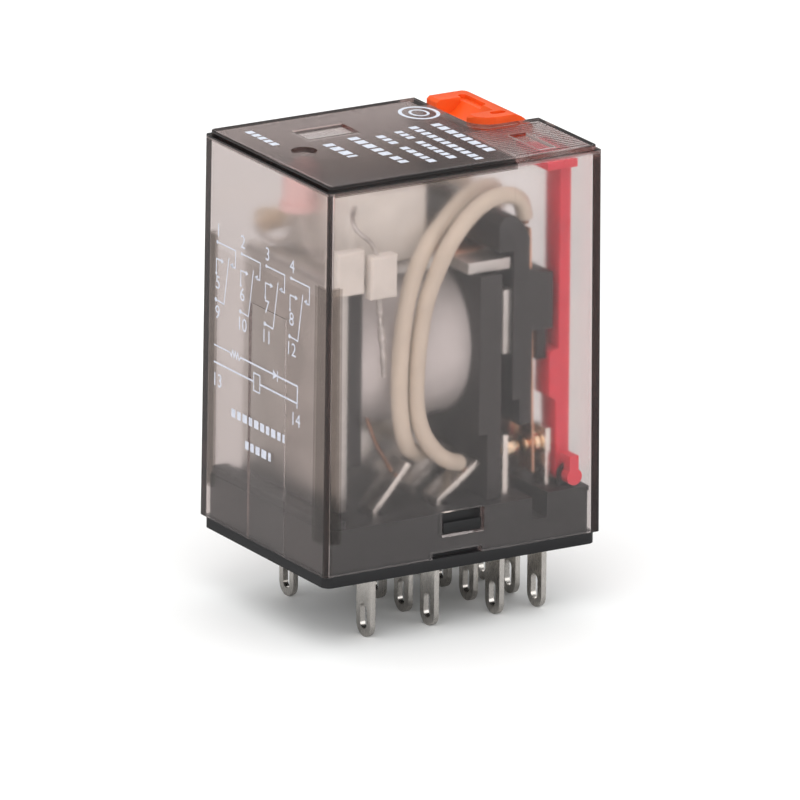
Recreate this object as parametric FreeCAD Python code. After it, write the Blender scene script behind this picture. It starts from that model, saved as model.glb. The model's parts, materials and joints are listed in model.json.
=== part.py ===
"""Plug-in four-pole changeover relay with a smoke cover, in millimetres.

Frame: origin at the centre of the base's seating face, +Z up, blades below z = 0.
+X runs from the coil end to the contact end, -Y is the wide front face.
Every separate piece is one STEP file in parts/.
"""
import FreeCAD, Part
import math
import os

V = FreeCAD.Vector

# ---------------------------------------------------------------- driving dimensions
LENGTH_X = 28.0            # cover outside, at its open bottom edge
WIDTH_Y = 21.5
TOTAL_TOP = 36.2           # lid surface above the seating face
COVER_BOTTOM = 1.1
SHOULDER_Z = 35.75         # top of the cover's side walls
LID_INSET = 0.32
DRAFT = 0.21               # inward lean of each side wall over its height
WALL = 0.7
CAVITY_TOP = 35.4
EDGE_R = 0.35              # vertical edges of the cover

FLANGE_X = 27.5
FLANGE_Y = 21.0
FLANGE_TOP = 1.05
UPSTAND_X = 13.1           # half sizes of the block that enters the cover
UPSTAND_Y = 9.85
UPSTAND_TOP = 5.0

POLE_Y = (-6.6, -2.2, 2.2, 6.6)
COIL_ROW_X = -7.3
COM_ROW_X = -0.85
NO_ROW_X = 5.8
NC_ROW_X = 10.1
BLADE_W = 2.4
BLADE_T = 0.5
BLADE_TIP = -6.3
SLOT_W = 1.1
SLOT_TOP = -3.3
SLOT_BOTTOM = -5.6
STRIP_TOP = 10.4           # contact strips of the NO and NC blades
FIT = 0.03                 # clearance of a blade in its moulded slot

CONTACT_Z = 8.9
NO_PAD_FACE = 7.6
NC_PAD_FACE = 9.68
SPRING_T = 0.2
SPRING_W = 2.2
SPRING_BOTTOM = 6.57
SPRING_TOP = 28.8
SPRING_X_AT = (8.37, 19.1)
SPRING_LEAN = -0.02634     # x per unit of z

COIL_Z = 18.4
COIL_LEFT = -8.45
COIL_RIGHT = 2.6
TAPE_R = 7.1
TAPE_T = 0.2
CORE_R = 3.0
POLE_FACE_X = 4.9

YOKE_T = 1.0
YOKE_TOP = 26.6
YOKE_LEFT = -11.05
YOKE_END = 5.9
YOKE_HALF = 7.4

PIVOT_X = 5.8              # armature hinge, axis along Y
PIVOT_Z = 26.1
ARM_LEFT = 5.4
ARM_RIGHT = 6.2

FLAG_X = 11.7              # flag lever hinge, axis along Y
FLAG_Z = 6.2

LEVER_X = 11.85            # test lever hinge, axis along Y
LEVER_Z = 35.0
NOTCH_LEFT = 7.15
NOTCH_FRONT = -0.6
NOTCH_R = 2.2
NOTCH_FLOOR = 33.2

SLEEVE_R = 0.75
SLEEVE_BORE = 0.42
BRAID_R = 0.4


# ---------------------------------------------------------------- shape helpers
def box(x0, x1, y0, y1, z0, z1):
    return Part.makeBox(x1 - x0, y1 - y0, z1 - z0, V(x0, y0, z0))


def rod(radius, start, end):
    run = V(*end) - V(*start)
    return Part.makeCylinder(radius, run.Length, V(*start), run)


def rounded_outline(half_x, half_y, radius, z):
    """Closed wire: a rectangle about the Z axis with round corners."""
    edges = []
    corners = ((1, 1), (-1, 1), (-1, -1), (1, -1))
    arc_ends = []
    for sx, sy in corners:
        c = V(sx * (half_x - radius), sy * (half_y - radius), z)
        first = V(sx * radius, 0, 0) if sx == sy else V(0, sy * radius, 0)
        last = V(0, sy * radius, 0) if sx == sy else V(sx * radius, 0, 0)
        mid = (first + last).normalize() * radius
        arc_ends.append((c + first, c + mid, c + last))
    for i, (first, mid, last) in enumerate(arc_ends):
        edges.append(Part.Arc(first, mid, last).toShape())
        edges.append(Part.makeLine(last, arc_ends[(i + 1) % 4][0]))
    return Part.Wire(edges)


def rounded_block(half_x, half_y, radius, z0, z1):
    face = Part.Face(rounded_outline(half_x, half_y, radius, z0))
    return face.extrude(V(0, 0, z1 - z0))


def drafted_block(inset, radius, z0, z1):
    """Block whose sides follow the cover's draft, moved in by inset."""
    wires = []
    for z in (z0, z1):
        lean = DRAFT * (z - COVER_BOTTOM) / (SHOULDER_Z - COVER_BOTTOM) + inset
        wires.append(rounded_outline(LENGTH_X / 2 - lean, WIDTH_Y / 2 - lean, radius, z))
    return Part.makeLoft(wires, True, True)


def profile_xz(points, y0, y1):
    """Prism along Y of a closed outline given as (x, z) points."""
    ring = [V(x, y0, z) for x, z in points]
    face = Part.Face(Part.makePolygon(ring + ring[:1]))
    return face.extrude(V(0, y1 - y0, 0))


def profile_xy(points, z0, z1):
    ring = [V(x, y, z0) for x, y in points]
    face = Part.Face(Part.makePolygon(ring + ring[:1]))
    return face.extrude(V(0, 0, z1 - z0))


def strip_outline(path, thickness):
    """Outline of a bent strip that follows (x, z) points, with mitred bends."""
    half = thickness / 2
    left, right = [], []
    for i, (x, z) in enumerate(path):
        normals = []
        for a, b in ((i - 1, i), (i, i + 1)):
            if a < 0 or b >= len(path):
                continue
            dx = path[b][0] - path[a][0]
            dz = path[b][1] - path[a][1]
            run = math.hypot(dx, dz)
            normals.append((-dz / run, dx / run))
        nx = sum(n[0] for n in normals) / len(normals)
        nz = sum(n[1] for n in normals) / len(normals)
        grow = half / (nx * nx + nz * nz)
        left.append((x + nx * grow, z + nz * grow))
        right.append((x - nx * grow, z - nz * grow))
    return left + right[::-1]


def bead(stations):
    """Solid of revolution along +X from (x, radius) stations, centred on y = z = 0."""
    ring = [V(stations[0][0], 0, 0)]
    ring += [V(x, 0, r) for x, r in stations]
    ring.append(V(stations[-1][0], 0, 0))
    face = Part.Face(Part.makePolygon(ring + ring[:1]))
    return face.revolve(V(0, 0, 0), V(1, 0, 0), 360)


def dome_stations(x0, x1, radius, rim):
    """Contact head from its seat at x0 to its crown at x1: a rim, then a shallow crown."""
    side = 1 if x1 > x0 else -1
    crown = abs(x1 - x0) - rim
    steps = 6
    found = [(x0, radius)]
    for i in range(steps + 1):
        t = i / steps
        found.append((x0 + side * (rim + crown * math.sin(t * math.pi / 2)),
                      radius * (1 - 0.55 * (1 - math.cos(t * math.pi / 2)))))
    return found


def tube_path(points):
    """Straight runs joined by tangent arcs, each as large as its two runs allow."""
    pts = [V(*p) for p in points]
    edges = []
    at = pts[0]
    smallest = float("inf")
    for i in range(1, len(pts) - 1):
        back = (pts[i - 1] - pts[i])
        ahead = (pts[i + 1] - pts[i])
        trim = 0.45 * min(back.Length, ahead.Length)
        u = V(back).normalize()
        w = V(ahead).normalize()
        first = pts[i] + u * trim
        last = pts[i] + w * trim
        half_turn = (math.pi - u.getAngle(w)) / 2
        radius = trim / math.tan(half_turn)
        smallest = min(smallest, radius)
        bisector = (u + w).normalize()
        middle = pts[i] + bisector * (radius / math.cos(half_turn) - radius)
        edges.append(Part.makeLine(at, first))
        edges.append(Part.Arc(first, middle, last).toShape())
        at = last
    edges.append(Part.makeLine(at, pts[-1]))
    return Part.Wire(edges), smallest


def tube(points, radius):
    """Round wire along tube_path, made of cylinders and torus arcs joined end to end."""
    wire, _ = tube_path(points)
    first = wire.OrderedEdges[0]
    start = first.valueAt(first.FirstParameter)
    heading = first.tangentAt(first.FirstParameter)
    section = Part.Wire(Part.makeCircle(radius, start, heading))
    return wire.makePipeShell([section], True, False)


def fuse(shapes):
    return shapes[0].multiFuse(shapes[1:]).removeSplitter()


NODES = {}


def keep(name, *shapes):
    """Register a node: one solid, or a group of separate solids."""
    NODES[name] = shapes[0] if len(shapes) == 1 else Part.makeCompound(list(shapes))


# ---------------------------------------------------------------- terminals
def blade_mask(y, top):
    """Front outline of a blade in the YZ plane: full-round tip and an eyelet slot."""
    half = BLADE_W / 2
    tip_centre = BLADE_TIP + half
    edges = [
        Part.makeLine(V(-20, y - half, tip_centre), V(-20, y - half, top)),
        Part.makeLine(V(-20, y - half, top), V(-20, y + half, top)),
        Part.makeLine(V(-20, y + half, top), V(-20, y + half, tip_centre)),
        Part.Arc(V(-20, y + half, tip_centre), V(-20, y, BLADE_TIP),
                 V(-20, y - half, tip_centre)).toShape(),
    ]
    outline = Part.Face(Part.Wire(edges)).extrude(V(40, 0, 0))
    r = SLOT_W / 2
    slot = box(-20, 20, y - r, y + r, SLOT_BOTTOM + r, SLOT_TOP - r)
    slot = slot.fuse(rod(r, (-20, y, SLOT_BOTTOM + r), (20, y, SLOT_BOTTOM + r)))
    slot = slot.fuse(rod(r, (-20, y, SLOT_TOP - r), (20, y, SLOT_TOP - r)))
    return outline.cut(slot)


def terminal(path, y, top):
    strip = profile_xz(strip_outline(path, BLADE_T), y - BLADE_W / 2, y + BLADE_W / 2)
    return strip.common(blade_mask(y, top))


def make_terminals():
    shank = 0.5
    for n, y in enumerate(POLE_Y, 1):
        for kind, x in (("no", NO_ROW_X), ("nc", NC_ROW_X)):
            piece = terminal([(x, BLADE_TIP - 1), (x, STRIP_TOP)], y, STRIP_TOP)
            hole = rod(shank, (x - 1, y, CONTACT_Z), (x + 1, y, CONTACT_Z))
            keep(f"{kind}_terminal_{n}", piece.cut(hole))
        tail = [(COM_ROW_X, BLADE_TIP - 1), (COM_ROW_X, 5.5), (3.1, 8.35)]
        keep(f"common_terminal_{n}", terminal(tail, y, 20.0))
    for n, y in enumerate((POLE_Y[0], POLE_Y[-1]), 1):
        tail = [(COIL_ROW_X, BLADE_TIP - 1), (COIL_ROW_X, 5.5), (-4.0, 9.3)]
        keep(f"coil_terminal_{n}", terminal(tail, y, 20.0))


def make_fixed_contacts():
    """Riveted contact buttons of the NO and NC strips, one group each."""
    shank = 0.5
    tail_t, tail_r = 0.35, 0.8
    half = BLADE_T / 2
    groups = {
        "no_contact_buttons": (NO_ROW_X, NO_PAD_FACE, 1, 0.45),
        "nc_contact_buttons": (NC_ROW_X, NC_PAD_FACE, -1, 0.06),
    }
    for name, (x, face, side, rim) in groups.items():
        seat = x + side * half
        back = x - side * half
        parts = [
            bead(sorted(dome_stations(seat, face, 1.02, rim))),
            rod(shank, (min(back, seat), 0, 0), (max(back, seat), 0, 0)),
            rod(tail_r, (back, 0, 0), (back - side * tail_t, 0, 0)),
        ]
        button = fuse(parts)
        keep(name, *[button.translated(V(0, y, CONTACT_Z)) for y in POLE_Y])


# ---------------------------------------------------------------- base
def make_base():
    flange = rounded_block(FLANGE_X / 2, FLANGE_Y / 2, 0.8, 0, FLANGE_TOP)
    upstand = rounded_block(UPSTAND_X, UPSTAND_Y, 0.3, FLANGE_TOP - 0.3, UPSTAND_TOP)
    body = flange.fuse(upstand)
    # low rims that the coil frame and the contact end stand in
    body = body.fuse(box(-12.9, -11.4, -9.6, 9.6, 4.8, 5.7))
    body = body.fuse(box(8.9, UPSTAND_X, -UPSTAND_Y, UPSTAND_Y, 4.8, 5.25))
    # snap noses that spring into the cover's windows
    nose = profile_xy([(-1.9, 0), (1.9, 0), (1.9, -0.75), (-1.9, -0.75)], 3.3, 4.7)
    ramp = box(-3, 3, -2, 1, 0, 2)
    ramp.rotate(V(0, 0, 0), V(1, 0, 0), -28)
    nose = nose.cut(ramp.translated(V(0, -0.75, 4.2)))
    for sign in (-1, 1):
        piece = nose.translated(V(0, 0.05, 0))
        if sign > 0:
            piece.rotate(V(0, 0, 0), V(0, 0, 1), 180)
        body = body.fuse(piece.translated(V(0, sign * UPSTAND_Y, 0)))
    # trough under the moving springs
    body = body.cut(box(7.35, 8.85, -10.0, 10.0, 3.0, 8.0))
    # blade slots
    w, t = BLADE_W / 2 + FIT, BLADE_T / 2 + FIT
    for x in (COM_ROW_X, NO_ROW_X, NC_ROW_X):
        for y in POLE_Y:
            body = body.cut(box(x - t, x + t, y - w, y + w, -1, 7))
    for y in (POLE_Y[0], POLE_Y[-1]):
        body = body.cut(box(COIL_ROW_X - t, COIL_ROW_X + t, y - w, y + w, -1, 7))
    # relief round the tails, where the common and coil blades bend
    for y in POLE_Y:
        body = body.cut(box(COM_ROW_X - 0.6, COM_ROW_X + 1.2, y - w, y + w, 4.3, 7))
    for y in (POLE_Y[0], POLE_Y[-1]):
        body = body.cut(box(COIL_ROW_X - 0.6, COIL_ROW_X + 1.2, y - w, y + w, 4.3, 7))
    # shallow moulding relief under the seating face, clear of every blade
    body = body.cut(rounded_block(2.0, 8.6, 0.5, -1, 0.5).translated(V(-3.8, 0, 0)))
    body = body.cut(rounded_block(2.0, 8.6, 0.5, -1, 0.5).translated(V(2.8, 0, 0)))
    # hinge ears of the flag lever
    for y0, y1 in ((-8.6, -8.1), (-5.1, -4.5)):
        ear = box(FLAG_X - 0.9, FLAG_X + 0.9, y0, y1, 5.2, FLAG_Z)
        ear = ear.fuse(rod(0.9, (FLAG_X, y0, FLAG_Z), (FLAG_X, y1, FLAG_Z)))
        body = body.fuse(ear)
    body = body.cut(rod(0.5, (FLAG_X, -9.3, FLAG_Z), (FLAG_X, -4.4, FLAG_Z)))
    keep("base", body.removeSplitter())
    keep("flag_pin", rod(0.49, (FLAG_X, -9.1, FLAG_Z), (FLAG_X, -4.55, FLAG_Z)))


# ---------------------------------------------------------------- cover
def notch(grow, z0, z1):
    """Corner cut of the lid, open to +X and +Y, with a round inner corner."""
    r = NOTCH_R + grow
    x, y = NOTCH_LEFT - grow, NOTCH_FRONT - grow
    far = 20
    centre = V(x + r, y + r, z0)
    mid = centre + V(-1, -1, 0).normalize() * r
    edges = [
        Part.makeLine(V(far, y, z0), V(x + r, y, z0)),
        Part.Arc(V(x + r, y, z0), mid, V(x, y + r, z0)).toShape(),
        Part.makeLine(V(x, y + r, z0), V(x, far, z0)),
        Part.makeLine(V(x, far, z0), V(far, far, z0)),
        Part.makeLine(V(far, far, z0), V(far, y, z0)),
    ]
    return Part.Face(Part.Wire(edges)).extrude(V(0, 0, z1 - z0))


def make_cover():
    outer = drafted_block(0, EDGE_R, COVER_BOTTOM, SHOULDER_Z)
    top_lean = DRAFT + LID_INSET
    lid = rounded_block(LENGTH_X / 2 - top_lean, WIDTH_Y / 2 - top_lean, 0.4,
                        SHOULDER_Z - 0.2, TOTAL_TOP)
    rim = [e for e in lid.Edges if e.BoundBox.ZMin > TOTAL_TOP - 0.01]
    shell = outer.fuse(lid.makeFillet(0.12, rim))
    cavity = drafted_block(WALL, 0.15, COVER_BOTTOM - 1, CAVITY_TOP)
    cavity = cavity.cut(notch(WALL, NOTCH_FLOOR - WALL, 40))
    shell = shell.cut(notch(0, NOTCH_FLOOR, 40)).cut(cavity)
    # slot in the notch floor for the test lever's cam
    shell = shell.cut(box(8.3, 10.9, 3.1, 5.3, 31, 34))
    # hinge ear and blind bearing of the test lever
    ear_y0, ear_y1 = 8.45, 9.84
    ear = box(LEVER_X - 0.9, LEVER_X + 0.9, ear_y0, ear_y1, NOTCH_FLOOR - 0.1, LEVER_Z)
    ear = ear.fuse(rod(0.9, (LEVER_X, ear_y0, LEVER_Z), (LEVER_X, ear_y1, LEVER_Z)))
    shell = shell.fuse(ear)
    bearing = 0.6
    shell = shell.cut(rod(bearing, (LEVER_X, 8, LEVER_Z), (LEVER_X, 9.9, LEVER_Z)))
    shell = shell.cut(rod(bearing, (LEVER_X, NOTCH_FRONT - 0.6, LEVER_Z), (LEVER_X, 0, LEVER_Z)))
    # snap windows and pry notches, front and back
    for sign in (-1, 1):
        y0, y1 = sorted((sign * 8.5, sign * 11.5))
        shell = shell.cut(box(-2.13, 2.13, y0, y1, 2.97, 5.2))
        shell = shell.cut(box(-3.1, 1.9, y0, y1, 0.5, COVER_BOTTOM + 0.55))
    # label window, lamp dimple and flag window in the lid
    shell = shell.cut(box(-7.65, -2.55, 3.2, 6.2, TOTAL_TOP - 0.35, 37))
    shell = shell.cut(rod(1.15, (-9.75, 0.45, TOTAL_TOP - 0.5), (-9.75, 0.45, 37)))
    shell = shell.cut(box(8.2, 10.0, -9.1, -4.0, TOTAL_TOP - 0.35, 37))
    # grip ribs over the flag
    groove_w, pitch, depth = 0.22, 0.5, 0.1
    y = -9.75
    while y < -1.5:
        end = 7.9 if -9.3 < y < -3.7 else 12.8
        shell = shell.cut(box(5.6, end, y, y + groove_w, TOTAL_TOP - depth, 37))
        if end < 12.8:
            shell = shell.cut(box(10.3, 12.8, y, y + groove_w, TOTAL_TOP - depth, 37))
        y += pitch
    # thinned panel down the inside of the coil-end wall
    inner_x = -(LENGTH_X / 2 - WALL)
    shell = shell.cut(box(inner_x - 0.2, inner_x + 1, -3.35, 2.85, 0, 22.5))
    keep("cover", shell.removeSplitter())


# ---------------------------------------------------------------- coil and magnet
def make_magnet():
    # bobbin: left flange, tube and right wall that also divides coil from contacts
    left = box(YOKE_LEFT + YOKE_T, COIL_LEFT, -7.2, 7.2, 9.6, 25.4)
    right = box(COIL_RIGHT, POLE_FACE_X - 0.05, -8.6, 8.6, 11.0, 25.35)
    skirt = box(3.5, POLE_FACE_X - 0.05, -8.6, 8.6, 5.0, 11.0)
    barrel_r = 3.8
    barrel = rod(barrel_r, (COIL_LEFT - 0.5, 0, COIL_Z), (COIL_RIGHT + 0.5, 0, COIL_Z))
    foot = box(YOKE_LEFT + YOKE_T, COIL_LEFT, -5.0, 5.0, 5.0, 9.7)
    bobbin = fuse([left, right, skirt, barrel, foot])
    bobbin = bobbin.cut(rod(CORE_R, (-12, 0, COIL_Z), (6, 0, COIL_Z)))
    face_r = 3.9
    bobbin = bobbin.cut(rod(face_r, (POLE_FACE_X - 1.2, 0, COIL_Z), (6, 0, COIL_Z)))
    keep("bobbin", bobbin)

    core = rod(CORE_R, (YOKE_LEFT, 0, COIL_Z), (POLE_FACE_X, 0, COIL_Z))
    core = core.fuse(rod(face_r, (POLE_FACE_X - 1.2, 0, COIL_Z), (POLE_FACE_X, 0, COIL_Z)))
    ring_at, ring_t = V(POLE_FACE_X - 0.6, 0, COIL_Z), 0.58
    ring = Part.makeCylinder(3.2, ring_t, ring_at, V(1, 0, 0), 200)
    ring = ring.cut(Part.makeCylinder(2.2, ring_t, ring_at, V(1, 0, 0), 360))
    keep("core", core.cut(ring).removeSplitter())
    keep("shading_ring", ring)

    def sleeve(outer, inner, x0, x1):
        shape = rod(outer, (x0, 0, COIL_Z), (x1, 0, COIL_Z))
        return shape.cut(rod(inner, (x0 - 1, 0, COIL_Z), (x1 + 1, 0, COIL_Z)))

    tape_in = TAPE_R - TAPE_T
    keep("coil_winding", sleeve(tape_in, barrel_r, COIL_LEFT, COIL_RIGHT))
    keep("coil_tape", sleeve(TAPE_R, tape_in, COIL_LEFT, COIL_RIGHT))

    # yoke: an upright leg, an arm over the coil and two ears at the hinge end
    leg = box(YOKE_LEFT, YOKE_LEFT + YOKE_T, -YOKE_HALF, YOKE_HALF, 5.75, YOKE_TOP)
    arm = box(YOKE_LEFT, YOKE_END, -4.7, 4.7, YOKE_TOP - YOKE_T, YOKE_TOP)
    ears = box(1.7, YOKE_END, -8.0, 8.0, YOKE_TOP - YOKE_T, YOKE_TOP)
    yoke = fuse([leg, arm, ears])
    bends = [e for e in yoke.Edges if abs(e.BoundBox.XMax - YOKE_LEFT) < 0.01
             and e.BoundBox.ZMin > YOKE_TOP - 0.01]
    yoke = yoke.makeFillet(0.9, bends)
    yoke = yoke.cut(rod(CORE_R, (-12, 0, COIL_Z), (-9, 0, COIL_Z)))
    for y in (-3.8, 3.8):
        yoke = yoke.cut(box(ARM_LEFT - 0.2, 7, y - 1.2, y + 1.2, 25, 27))
    for y in (-2.2, 2.2):
        yoke = yoke.cut(rod(0.5, (2.6, y, 25), (2.6, y, 27)))
    keep("yoke", yoke)

    # leaf spring on the yoke that bears on the armature's two tongues
    leaf_top = YOKE_TOP + 0.2
    leaf = box(1.6, 4.6, -5.0, 5.0, YOKE_TOP, leaf_top)
    for y in (-3.8, 3.8):
        leaf = leaf.fuse(box(4.6, ARM_LEFT - 0.05, y - 0.7, y + 0.7, YOKE_TOP, leaf_top))
    rivets = []
    for y in (-2.2, 2.2):
        leaf = leaf.cut(rod(0.5, (2.6, y, 25), (2.6, y, 28)))
        shank = rod(0.5, (2.6, y, YOKE_TOP - YOKE_T), (2.6, y, leaf_top))
        rivets.append(shank.fuse(rod(0.85, (2.6, y, leaf_top), (2.6, y, leaf_top + 0.4))))
    keep("hinge_spring", leaf)
    keep("hinge_spring_rivets", *rivets)


# ---------------------------------------------------------------- moving armature set
def spring_x(z):
    return SPRING_X_AT[0] + SPRING_LEAN * (z - SPRING_X_AT[1])


def make_armature_set():
    plate = box(ARM_LEFT, ARM_RIGHT, -7.8, 7.8, 17.8, 23.6)
    plate = plate.fuse(box(ARM_LEFT, ARM_RIGHT, -5.2, 5.2, 14.3, 25.35))
    for y in (-3.8, 3.8):
        plate = plate.fuse(box(ARM_LEFT, ARM_RIGHT, y - 1.0, y + 1.0, 25.0, 26.95))
    stakes = []
    for y in (-5.6, 5.6):
        hole = rod(0.7, (ARM_LEFT - 1, y, 21.5), (ARM_RIGHT + 1, y, 21.5))
        plate = plate.cut(hole)
        stakes.append(rod(0.7, (ARM_LEFT - 0.25, y, 21.5), (ARM_RIGHT + 0.5, y, 21.5)))
    keep("armature", plate.removeSplitter())

    section = [(4.7, 27.15), (4.7, 29.6), (5.2, 30.3), (6.3, 30.3), (7.2, 29.4), (7.8, 28.2),
               (7.8, 25.2),
               (10.2, 24.7), (10.2, 19.6), (8.15, 19.6), (8.15, 11.2), (6.9, 11.2),
               (6.9, 13.6), (ARM_RIGHT, 13.6), (ARM_RIGHT, 27.15)]
    carrier = profile_xz(section, -8.2, 8.2)
    for y in (-4.4, 0.0, 4.4):
        carrier = carrier.fuse(box(6.5, 8.1, y - 0.4, y + 0.4, 7.2, 11.4))
    carrier = carrier.fuse(box(8.95, 9.95, -7.6, -6.2, 16.7, 19.8))
    carrier = fuse([carrier] + stakes)

    springs = []
    for y in POLE_Y:
        path = [(spring_x(z), z) for z in (SPRING_BOTTOM, SPRING_TOP)]
        spring = profile_xz(strip_outline(path, SPRING_T), y - SPRING_W / 2, y + SPRING_W / 2)
        springs.append(spring)
        # the springs pass down a relief in the carrier's lower plate
        carrier = carrier.cut(box(8.05, 9.0, y - SPRING_W / 2, y + SPRING_W / 2, 11.0, 19.6))
        carrier = carrier.cut(spring)
    keep("contact_carrier", carrier.removeSplitter())

    x = spring_x(CONTACT_Z)
    left, right = x - SPRING_T / 2, x + SPRING_T / 2
    shank = 0.4
    button = fuse([
        rod(shank, (left, 0, 0), (right, 0, 0)),
        rod(0.5, (left, 0, 0), (left - 0.22, 0, 0)),
        bead(sorted(dome_stations(left - 0.22, 8.1, 0.78, 0.1))),
        rod(0.6, (right, 0, 0), (right + 0.32, 0, 0)),
        bead(sorted(dome_stations(right + 0.32, NC_PAD_FACE - 0.02, 0.98, 0.4))),
    ])
    buttons = []
    for n, (y, spring) in enumerate(zip(POLE_Y, springs), 1):
        spring = spring.cut(rod(shank, (7, y, CONTACT_Z), (10, y, CONTACT_Z)))
        keep(f"moving_spring_{n}", spring)
        buttons.append(button.translated(V(0, y, CONTACT_Z)).cut(spring))
    keep("moving_contact_buttons", *buttons)


# ---------------------------------------------------------------- flag and test lever
def make_flag():
    outline = [(FLAG_X - 0.75, FLAG_Z), (FLAG_X + 0.7, FLAG_Z), (12.1, 8.2), (12.0, 34.9),
               (9.0, 34.9), (9.0, 34.2), (10.95, 34.2), (11.0, 17.6), (10.3, 17.4),
               (10.05, 17.2), (10.05, 13.3), (10.7, 12.9), (10.8, 9.6)]
    bar = profile_xz(outline, -8.0, -5.6)
    head = box(9.0, 12.0, -9.05, -4.1, 34.2, 34.9)
    hub = rod(0.85, (FLAG_X, -8.0, FLAG_Z), (FLAG_X, -5.2, FLAG_Z))
    boss = rod(0.75, (FLAG_X, -9.75, FLAG_Z), (FLAG_X, -8.7, FLAG_Z))
    # web that carries the boss round the outside of the front ear
    web = box(FLAG_X - 0.5, FLAG_X + 0.4, -9.75, -8.7, FLAG_Z, 7.9)
    bridge = box(FLAG_X - 0.5, FLAG_X + 0.4, -9.75, -7.9, 7.3, 8.1)
    flag = fuse([bar, head, hub, boss, web, bridge])
    flag = flag.cut(rod(0.54, (FLAG_X, -9.2, FLAG_Z), (FLAG_X, -4, FLAG_Z)))
    keep("flag_lever", flag)


def make_test_lever():
    y0, y1 = -0.45, 8.25
    top = TOTAL_TOP + 0.6
    # side outline: flat thumb top, then a round fall to the hinge side
    r = 2.1
    cx, cz = 10.65, top - r
    edge_x = cx + r
    edges = [
        Part.makeLine(V(7.3, y0, 34.8), V(7.3, y0, top - 0.25)),
        Part.makeLine(V(7.3, y0, top - 0.25), V(7.6, y0, top)),
        Part.makeLine(V(7.6, y0, top), V(cx, y0, top)),
        Part.Arc(V(cx, y0, top), V(cx + r * math.sin(math.pi / 4), y0,
                                   cz + r * math.cos(math.pi / 4)),
                 V(edge_x, y0, cz)).toShape(),
        Part.makeLine(V(edge_x, y0, cz), V(edge_x, y0, 34.2)),
        Part.makeLine(V(edge_x, y0, 34.2), V(12.35, y0, 33.8)),
        Part.makeLine(V(12.35, y0, 33.8), V(7.9, y0, 33.8)),
        Part.makeLine(V(7.9, y0, 33.8), V(7.3, y0, 34.8)),
    ]
    body = Part.Face(Part.Wire(edges)).extrude(V(0, y1 - y0, 0))
    # round the plan corner that nests in the notch
    gap = 0.14
    body = body.common(notch(-gap, 33, 40))
    # finger scoop on the coil side, between a back thumb block and the front block
    scoop = rod(3.4, (7.15, 1.5, top + 1.75), (7.15, 6.5, top + 1.75))
    body = body.cut(scoop)
    # long and short recesses in the raised bar
    long_slot = box(9.7, 10.5, 3.7, 6.8, top - 0.35, 40)
    for y in (3.7, 6.8):
        long_slot = long_slot.fuse(rod(0.4, (10.1, y, top - 0.35), (10.1, y, 40)))
    short_slot = box(9.7, 10.4, 0.4, 1.2, top - 0.35, 40)
    for x in (9.7, 10.4):
        short_slot = short_slot.fuse(rod(0.4, (x, 0.8, top - 0.35), (x, 0.8, 40)))
    body = body.cut(long_slot).cut(short_slot)
    # trunnions and the cam that reaches through the notch floor
    trunnion = 0.55
    stub_front = rod(trunnion, (LEVER_X, -1.1, LEVER_Z), (LEVER_X, 0.5, LEVER_Z))
    stub_back = rod(trunnion, (LEVER_X, 8.0, LEVER_Z), (LEVER_X, 9.75, LEVER_Z))
    cam = profile_xz([(9.2, 34.2), (9.2, 32.2), (9.5, 31.8), (10.1, 31.8), (10.4, 32.2),
                      (10.4, 34.2)], 3.5, 4.9)
    keep("test_lever", fuse([body, stub_front, stub_back, cam]))


# ---------------------------------------------------------------- flexible leads
OUTER_TOP = [(8.15, -6.6, 29.5), (8.0, -6.65, 30.8), (7.0, -6.85, 31.75), (5.3, -7.15, 32.1),
             (3.2, -7.5, 31.65)]
OUTER_TOP_LOW = [(8.15, -6.6, 29.5), (7.85, -6.65, 30.45), (6.95, -6.85, 31.05),
                 (5.4, -7.15, 31.15), (3.3, -7.5, 31.0)]
OUTER_FALL = [
    (1.3, -7.8, 30.3), (-0.35, -8.05, 28.6), (-1.55, -8.25, 26.6), (-2.6, -8.3, 24.4),
    (-3.2, -8.32, 21.9), (-3.6, -8.3, 18.6), (-3.7, -8.3, 15.0), (-3.3, -8.3, 12.9),
    (-2.5, -8.3, 11.2), (-1.3, -8.2, 9.8), (0.1, -7.8, 8.85), (1.5, -7.1, 8.35)]
INNER_TOP = [(8.15, -2.2, 29.5), (8.0, -2.4, 30.75), (7.0, -3.0, 31.65), (5.3, -3.75, 31.9),
             (3.2, -4.6, 31.5)]
INNER_TOP_LOW = [(8.15, -2.2, 29.5), (7.85, -2.4, 30.45), (6.95, -3.0, 31.05),
                 (5.4, -3.75, 31.15), (3.3, -4.6, 31.0)]
INNER_FALL = [
    (0.85, -5.6, 30.2), (-1.1, -6.4, 29.0), (-2.85, -7.2, 27.2), (-4.1, -7.8, 25.2),
    (-4.85, -8.15, 22.7), (-5.3, -8.3, 19.5), (-5.4, -8.3, 15.4), (-5.0, -8.2, 12.6),
    (-4.2, -7.6, 10.9), (-2.9, -6.6, 9.8), (-1.3, -5.2, 9.2), (0.2, -3.7, 8.75),
    (1.5, -2.7, 8.35)]


def far_side(route):
    return [(x, -y, z) for x, y, z in route]


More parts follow.
